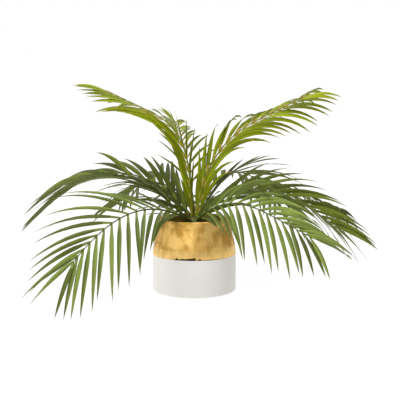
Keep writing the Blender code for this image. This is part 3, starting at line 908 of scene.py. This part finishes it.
def frond_nodes(frond):
    """CAD nodes that a frond's pieces stand for."""
    return [f"{frond.name}_inner", f"{frond.name}_outer"]


def tone_of(frond):
    """Name of the leaf set that a frond takes."""
    if frond.young:
        return "young"
    return "front" if frond.name in LIT_FRONT_FRONDS else "mature"


def surface_tree(piece):
    """Search tree of a piece's faces, to find what touches it."""
    builder = bmesh.new()
    builder.from_mesh(piece.data)
    found = BVHTree.FromBMesh(builder)
    builder.free()
    return found


# Settings and operators


def colour_setting(name, description, default):
    """Colour that a user may change."""
    return bpy.props.FloatVectorProperty(
        name=name, description=description, subtype="COLOR", size=3, min=0.0, max=1.0, default=default
    )


def number_setting(name, description, default, **options):
    """Number that a user may change."""
    return bpy.props.FloatProperty(name=name, description=description, min=0.0, default=default, **options)


def length_setting(name, description, default):
    """Small length that a user may change."""
    return number_setting(name, description, default, unit="LENGTH", precision=5)


def count_setting(name, description, default):
    """Whole number that a user may change."""
    return bpy.props.IntProperty(name=name, description=description, min=1, default=default)


class PlanterSettings(bpy.types.PropertyGroup):
    """Sizes and colours of the planter and its gold"""

    white: colour_setting("White glaze", "Colour of the lower glaze", (0.84, 0.81, 0.765))
    clay: colour_setting("Bare clay", "Colour of the unglazed underside", (0.62, 0.55, 0.46))
    unevenness: length_setting("Unevenness", "How far the wall strays from round", 0.00025)
    gold_light: colour_setting("Light gold", "Gold where the brush laid it thick", (0.95, 0.64, 0.21))
    gold_deep: colour_setting("Deep gold", "Gold between the brush strokes", (0.62, 0.36, 0.08))
    gold_band: colour_setting("Band gold", "Smoother gold of the lowest lap", (1.0, 0.67, 0.225))
    burnt: colour_setting("Burnt edge", "Colour of the burnt spots along the edge", (0.07, 0.035, 0.012))
    edge_wander: length_setting("Edge wander", "How far the gold's lower edge wanders", 0.0007)
    gold_thickness: length_setting("Gold thickness", "Thickness of the gold skin", 0.0005)


class FillingSettings(bpy.types.PropertyGroup):
    """Sizes and colours of the moss and the stalk"""

    moss: colour_setting("Moss", "Colour of the moss bed", (0.10, 0.11, 0.035))
    moss_light: colour_setting("Light moss", "Colour of the lighter strands", (0.22, 0.22, 0.07))
    lumps: length_setting("Lumps", "Height of the lumps in the moss bed", 0.0025)
    strands: count_setting("Strands", "How many moss strands stand up", 1100)
    stalk: colour_setting("Stalk", "Colour of the stalk's wrapping", (0.14, 0.12, 0.05))
    stalk_green: colour_setting("Stalk green", "Green of the sheaths round the stalk", (0.17, 0.20, 0.05))
    sheaths: count_setting("Sheaths", "Sheaths in each ring round the stalk", 11)


class FoliageSettings(bpy.types.PropertyGroup):
    """Sizes and colours of the fronds"""

    young: colour_setting("Young leaf", "Colour of the upright young fronds", (0.235, 0.280, 0.006))
    # Painted light: a lighter copy of the mature green, for the two front fronds.
    front: colour_setting("Front leaf", "Colour of the two front fronds", (0.155, 0.195, 0.042))
    mature: colour_setting("Mature leaf", "Colour of the darker fronds", (0.104, 0.132, 0.018))
    tan: colour_setting("Tan ends", "Colour of the young leaflets' roots and tips", (0.34, 0.27, 0.05))
    young_rib: colour_setting("Young rib", "Colour of the young fronds' ribs", (0.19, 0.205, 0.015))
    thickness: length_setting("Leaflet thickness", "Thickness of a leaflet", 0.0004)
    fold: number_setting("Fold", "Drop of a leaflet's edges, as a share of its half width", 0.35)
    twist: number_setting("Twist", "Most that a leaflet turns along its length, in degrees", 16.0)
    drift: length_setting("Drift", "How far a leaflet's tip strays sideways", 0.004)


class StageSettings(bpy.types.PropertyGroup):
    """Floor and light"""

    floor: colour_setting("Floor", "Colour of the floor", (0.12, 0.12, 0.12))
    key_power: number_setting("Key light", "Power of the main light", 80.0, unit="POWER")
    surround: number_setting("Surround", "Strength of the light from all round", 0.62)


class PALM_OT_planter(bpy.types.Operator):
    """Turn the white glazed planter with its bare underside"""

    bl_idname = "potted_palm.planter"
    bl_label = "Planter"

    def execute(self, context):
        settings = context.scene.palm_planter
        foot = (PLANTER_RADIUS - FOOT_ROUNDING, FOOT_ROUNDING)
        inner_foot = (PLANTER_RADIUS - WALL - FOOT_ROUNDING, FLOOR + FOOT_ROUNDING)
        outline = [(0.0, 0.0)]
        outline += arc(foot, FOOT_ROUNDING, -math.pi / 2.0, 0.0, FOOT_STEPS)
        outline += side_points(FOOT_ROUNDING, LIP_HEIGHT, 0.0)[1:-1]
        outline += lip_points(0.0)
        outline += reversed(side_points(FLOOR + FOOT_ROUNDING, LIP_HEIGHT, WALL)[:-1])
        outline += arc(inner_foot, FOOT_ROUNDING, 0.0, -math.pi / 2.0, CORNER_STEPS)[1:]
        outline.append((0.0, FLOOR))
        builder = turned(outline, TURNED_STEPS)
        for corner in builder.verts:
            if corner.co.z > FOOT_ROUNDING:
                radial = outward(corner.co)
                share = (1.0 + noise.noise(radial * WALL_NOISE)) / 2.0
                corner.co -= radial.normalized() * settings.unevenness * share
        for face in builder.faces:
            if face.normal.z < FACES_DOWN and face.calc_center_median().z < CLEARANCE:
                face.material_index = 1
        materials = [white_glaze_material(settings.white), bare_clay_material(settings.clay)]
        finish_piece("planter_body", builder, materials, ["planter"])
        return {"FINISHED"}


class PALM_OT_gold(bpy.types.Operator):
    """Lay the gold glaze round the upper side, over the lip and just inside"""

    bl_idname = "potted_palm.gold"
    bl_label = "Gold Glaze"

    def execute(self, context):
        settings = context.scene.palm_planter
        proud = settings.gold_thickness / 2.0
        outline = side_points(GLAZE_START, LIP_HEIGHT, -proud)[:-1]
        outline += lip_points(-proud)
        outline += reversed(side_points(PLANTER_HEIGHT - GLAZE_DEPTH_INSIDE, LIP_HEIGHT, WALL + proud)[:-1])
        builder = turned(outline, TURNED_STEPS)
        edge_height = GLAZE_START + CLEARANCE
        for corner in builder.verts:
            if corner.co.z < edge_height:
                corner.co.z += settings.edge_wander * noise.noise(outward(corner.co) * EDGE_NOISE)
        face_outwards(builder)
        thicken(builder, settings.gold_thickness)
        gold = gold_material(settings.gold_light, settings.gold_deep, settings.gold_band, settings.burnt)
        finish_piece("gold_glaze_skin", builder, [gold], ["gold_glaze"])
        return {"FINISHED"}


class PALM_OT_moss(bpy.types.Operator):
    """Fill the planter, with a lumpy moss bed and loose strands on top"""

    bl_idname = "potted_palm.moss"
    bl_label = "Moss"

    def execute(self, context):
        settings = context.scene.palm_filling
        inset = WALL + CLEARANCE
        edge_height = FILLER_TOP - FILLER_DOME
        outline = [(0.0, FLOOR + CLEARANCE), (PLANTER_RADIUS - inset - FOOT_ROUNDING, FLOOR + CLEARANCE)]
        outline += side_points(FLOOR + FOOT_ROUNDING, edge_height, inset)
        rim = outline[-1][0]
        outline += spaced([outline[-1], (FLAT_RADIUS, FILLER_TOP), (0.0, FILLER_TOP)], BED_GAP)[1:]
        builder = turned(outline, TURNED_STEPS)
        for corner in builder.verts:
            radius = corner.co.xy.length
            if corner.co.z > edge_height - CLEARANCE and radius < rim - CLEARANCE:
                lump = sum(share * noise.noise(corner.co * scale) for scale, share in LUMP_NOISES)
                corner.co.z += settings.lumps * lump * smooth_step((radius - CROWN_RADIUS) / LUMP_START)
        bed = moss_material("moss_bed", settings.moss)
        finish_piece("moss_bed", builder, [bed], ["moss_filler"])
        chance = random.Random(STRAND_SEED)
        strands = bmesh.new()
        for _ in range(settings.strands):
            self.add_strand(strands, chance, rim - STRAND_EDGE)
        materials = [
            moss_material("moss_strand", settings.moss),
            moss_material("moss_strand_light", settings.moss_light),
            moss_material("moss_strand_dark", shade(settings.moss, 0.55)),
        ]
        finish_piece("moss_strands", strands, materials, ["moss_filler"])
        return {"FINISHED"}

    def add_strand(self, strands, chance, rim):
        """One short curled strand somewhere on the bed."""
        turn = chance.uniform(0.0, math.tau)
        radius = math.sqrt(chance.uniform((CROWN_RADIUS + STALK_GAP) ** 2, rim**2))
        height = blend(FILLER_TOP, FILLER_TOP - FILLER_DOME, smooth_step(radius / rim)) - STRAND_SINK
        point = Vector((radius * math.cos(turn), radius * math.sin(turn), height))
        azimuth = chance.uniform(0.0, 360.0)
        climb = chance.uniform(*STRAND_CLIMB)
        length = chance.uniform(*STRAND_LENGTH)
        curl = chance.uniform(*STRAND_CURL)
        thick = chance.uniform(*STRAND_THICKNESS)
        runs = STRAND_RINGS - 1
        frames = []
        for ring in range(STRAND_RINGS):
            share = ring / runs
            way = heading(azimuth, climb - curl * share)
            across = Vector((-way.y, way.x, 0.0)).normalized()
            size = thick * (1.0 - STRAND_TAPER * share)
            frames.append(placed(point, across, way.cross(across), way, size, size))
            point = point + way * length / runs
        before = len(strands.faces)
        add_swept(strands, frames, STRAND_SIDES)
        strands.faces.ensure_lookup_table()
        tone = chance.choice(STRAND_TONES)
        for face in strands.faces[before:]:
            face.material_index = tone


class PALM_OT_crown(bpy.types.Operator):
    """Wrap the stalk that the fronds grow from, with two rings of short sheaths"""

    bl_idname = "potted_palm.crown"
    bl_label = "Crown"

    def execute(self, context):
        settings = context.scene.palm_filling
        foot = FILLER_TOP + CLEARANCE - STALK_SINK
        outline = [(0.0, foot), (CROWN_RADIUS + STALK_FLARE, foot)]
        outline += arc((0.0, CROWN_CENTRE), CROWN_RADIUS, 0.0, math.pi / 2.0, DOME_STEPS)
        builder = turned(spaced(outline, STALK_GAP), STALK_STEPS)
        for corner in builder.verts:
            radial = outward(corner.co)
            if radial.length > STALK_GAP:
                turn = math.atan2(corner.co.y, corner.co.x)
                corner.co -= radial.normalized() * GROOVE_DEPTH * (1.0 + math.sin(turn * GROOVES))
        wrap = fibre_material("stalk_wrap", settings.stalk, shade(settings.stalk, 0.45))
        finish_piece("stalk", builder, [wrap], ["crown_stalk"])
        chance = random.Random(SHEATH_SEED)
        scales = bmesh.new()
        for ring, (low, high) in enumerate(SHEATH_RINGS):
            for index in range(settings.sheaths):
                place = index + 0.5 * ring + chance.uniform(-SHEATH_STRAY, SHEATH_STRAY)
                turn = math.tau * place / settings.sheaths
                add_mesh(scales, self.sheath(turn, low, high, chance.uniform(*SHEATH_SIZE), ring))
        green = fibre_material("sheath_green", settings.stalk_green, settings.stalk)
        dry = fibre_material("sheath_dry", settings.stalk, shade(settings.stalk_green, 0.6))
        finish_piece("stalk_sheaths", scales, [green, dry], ["crown_stalk"])
        return {"FINISHED"}

    def sheath(self, turn, low, high, size, ring):
        """One pointed sheath wrapped on the dome, its tip standing a little away."""
        builder = bmesh.new()
        bmesh.ops.create_grid(builder, x_segments=4, y_segments=5, size=1.0)
        for corner in builder.verts:
            share = (corner.co.y + 1.0) / 2.0
            climb = blend(low, high, share * size)
            wide = SHEATH_HALF_ANGLE * (1.0 - share**SHEATH_POINT)
            angle = turn + corner.co.x * wide
            stand = CROWN_RADIUS + SHEATH_GAP + SHEATH_RING_GAP * ring + SHEATH_TIP_STAND * share**2
            level = math.cos(max(climb, 0.0)) * stand
            rise = math.sin(climb) * stand if climb > 0.0 else climb * stand
            corner.co = Vector((level * math.cos(angle), level * math.sin(angle), CROWN_CENTRE + rise))
        builder.normal_update()
        face_outwards(builder)
        thicken(builder, SHEATH_THICKNESS)
        for face in builder.faces:
            face.material_index = 1 - ring
        return builder


class PALM_OT_fronds(bpy.types.Operator):
    """Grow every frond: a rib and two rows of folded leaflets that keep off each other"""

    bl_idname = "potted_palm.fronds"
    bl_label = "Fronds"

    def execute(self, context):
        settings = context.scene.palm_foliage
        leaf_sets = {}
        rib_materials = {}
        for tone in ("young", "front", "mature"):
            colour = getattr(settings, tone)
            root, tip, rib = (shade(colour, factor) for factor in (ROOT_SHADE, TIP_SHADE, RIB_SHADE))
            if tone == "young":
                root, tip, rib = settings.tan, settings.tan, settings.young_rib
            leaf_sets[tone] = leaf_set(tone, colour, root, tip)
            rib_materials[tone] = leaf_material(f"{tone}_rib", rib, roughness=0.5)
        carriers = ["planter_body", "moss_bed", "stalk"]
        obstacles = [(name, surface_tree(bpy.data.objects[name])) for name in carriers]
        for frond in FRONDS:
            builder = rib_rod(frond, rib_line(frond))
            materials = [rib_materials[tone_of(frond)]]
            rib = finish_piece(f"{frond.name}_rib", builder, materials, frond_nodes(frond))
            obstacles.append((frond.name, surface_tree(rib)))
        for frond in FRONDS:
            builder, found = self.leaflets(frond, settings, obstacles)
            obstacles += found
            name = f"{frond.name}_leaflets"
            materials = leaf_sets[tone_of(frond)]
            finish_piece(name, builder, materials, frond_nodes(frond), SHARP_LEAFLET)
        return {"FINISHED"}

    def leaflets(self, frond, settings, obstacles):
        """Leaflets of one frond; one that finds no clear place is left out."""
        line = rib_line(frond)
        chance = random.Random(frond.seed + BLADE_SEED)
        builder = bmesh.new()
        found = []
        for row in leaflet_rows(frond):
            picks = (
                blend(*frond.pitch, pair_share(frond, row[0])),
                frond.width,
                chance.uniform(-settings.twist, settings.twist),
                chance.uniform(-settings.drift, settings.drift),
                # Painted shade: the tone is drawn lower by the crown, so leaflets there more often take the
                # darker copies.
                chance.random() * blend(CROWN_SHADE_TONE, 1.0, smooth_step(row[0] / CROWN_SHADE_ENDS_AT)),
            )
            for nudge in NUDGES:
                part = blade(leaflet_line(frond, line, row, nudge), settings, picks)
                if min(corner.co.z for corner in part.verts) > LOWEST_LEAF:
                    shape = BVHTree.FromBMesh(part)
                    if not any(name != frond.name and shape.overlap(other) for name, other in obstacles):
                        found.append((frond.name, shape))
                        add_mesh(builder, part)
                        break
                part.free()
        return builder, found


class PALM_OT_stage(bpy.types.Operator):
    """Set the pale floor, the soft studio light and the camera"""

    bl_idname = "potted_palm.stage"
    bl_label = "Stage"

    def execute(self, context):
        settings = context.scene.palm_stage
        scene = context.scene
        builder = bmesh.new()
        bmesh.ops.create_grid(builder, x_segments=1, y_segments=1, size=FLOOR_SIZE)
        mesh = new_mesh("floor", builder)
        mesh.materials.append(self.floor_material(settings.floor))
        floor = add_object("floor", mesh)
        for name, place, size, share in LIGHTS:
            self.add_light(name, place, size, settings.key_power * share)
        self.add_surround(scene, settings.surround)
        self.add_camera(scene)
        scene.view_settings.view_transform = "Standard"
        return {"FINISHED"}

    def floor_material(self, colour):
        """Pale sweep that stays near white, with a painted shadow where its glow dims round the planter, and
        takes only a faint cast shadow.
        """
        material, tree, shader = new_material("floor", 0.8, specular=0.0)
        shader.inputs["Base Color"].default_value = (*colour, 1.0)
        shader.inputs["Emission Color"].default_value = (1.0, 1.0, 1.0, 1.0)
        place = add_node(tree, "ShaderNodeTexCoord").outputs["Object"]
        far = add_node(tree, "ShaderNodeVectorMath", {0: place}, operation="LENGTH").outputs["Value"]
        # Painted shadow: the glow dims round the planter.
        tree.links.new(ranged(tree, far, *FLOOR_SHADOW_REACH, FLOOR_SHADE, 1.0), shader.inputs["Emission Strength"])
        return material

    def add_light(self, name, place, size, power):
        """Round soft light that shines on the plant."""
        light = bpy.data.lights.new(name, "AREA")
        light.shape = "DISK"
        light.size = size
        light.energy = power
        aim(add_object(name, light), place, LIGHT_AIM)

    def add_surround(self, scene, strength):
        """White all round for the camera, and a softly graded room for everything else."""
        world = bpy.data.worlds.new("studio")
        world.use_nodes = True
        scene.world = world
        tree = world.node_tree
        tree.nodes.clear()
        place = add_node(tree, "ShaderNodeTexCoord").outputs["Generated"]
        parts = add_node(tree, "ShaderNodeSeparateXYZ", {"Vector": place})
        side = ranged(tree, parts.outputs["X"], *SIDE_PARTS, *SIDE_LIGHT)
        height = ranged(tree, parts.outputs["Z"], *HEIGHT_PARTS, *HEIGHT_LIGHT)
        back = ranged(tree, parts.outputs["Y"], *BACK_PARTS, *BACK_LIGHT)
        level = combined(tree, "MULTIPLY", combined(tree, "MULTIPLY", side, height), back)
        level = combined(tree, "MULTIPLY", level, strength)
        room = add_node(tree, "ShaderNodeBackground", {"Strength": level})
        seen = add_node(tree, "ShaderNodeBackground", {"Strength": 1.0, "Color": (1.0, 1.0, 1.0, 1.0)})
        rays = add_node(tree, "ShaderNodeLightPath").outputs["Is Camera Ray"]
        values = {0: rays, 1: room.outputs[0], 2: seen.outputs[0]}
        both = add_node(tree, "ShaderNodeMixShader", values)
        add_node(tree, "ShaderNodeOutputWorld", {"Surface": both.outputs[0]})

    def add_camera(self, scene):
        """Camera from the front and a little above, as the photograph was taken."""
        data = bpy.data.cameras.new("camera")
        data.lens = LENS
        data.sensor_width = SENSOR_WIDTH
        data.clip_end = CLIP_END
        scene.camera = add_object("camera", data)
        aim(scene.camera, CAMERA_PLACE, CAMERA_AIM)


class PALM_PT_panel(bpy.types.Panel):
    """Potted palm in the 3D view's sidebar"""

    bl_idname = "PALM_PT_panel"
    bl_label = "Potted Palm"
    bl_space_type = "VIEW_3D"
    bl_region_type = "UI"
    bl_category = "Potted Palm"

    def draw(self, context):
        for group in GROUPS:
            box = self.layout.box()
            settings = getattr(context.scene, group)
            for key in settings.bl_rna.properties.keys():
                if key not in ("rna_type", "name"):
                    box.prop(settings, key)
        for operator in OPERATORS:
            self.layout.operator(operator.bl_idname)


OPERATORS = (PALM_OT_planter, PALM_OT_gold, PALM_OT_moss, PALM_OT_crown, PALM_OT_fronds, PALM_OT_stage)
GROUPS = {
    "palm_planter": PlanterSettings,
    "palm_filling": FillingSettings,
    "palm_foliage": FoliageSettings,
    "palm_stage": StageSettings,
}
CLASSES = (*GROUPS.values(), *OPERATORS, PALM_PT_panel)


def register():
    """Register the settings, the operators and the panel."""
    for kind in CLASSES:
        bpy.utils.register_class(kind)
    for name, group in GROUPS.items():
        setattr(bpy.types.Scene, name, bpy.props.PointerProperty(type=group))


def unregister():
    """Take back what register made."""
    for name in GROUPS:
        delattr(bpy.types.Scene, name)
    for kind in reversed(CLASSES):
        bpy.utils.unregister_class(kind)


def main():
    """Build every piece and the stage."""
    register()
    bpy.ops.potted_palm.planter()
    bpy.ops.potted_palm.gold()
    bpy.ops.potted_palm.moss()
    bpy.ops.potted_palm.crown()
    bpy.ops.potted_palm.fronds()
    bpy.ops.potted_palm.stage()


if __name__ == "__main__":
    main()
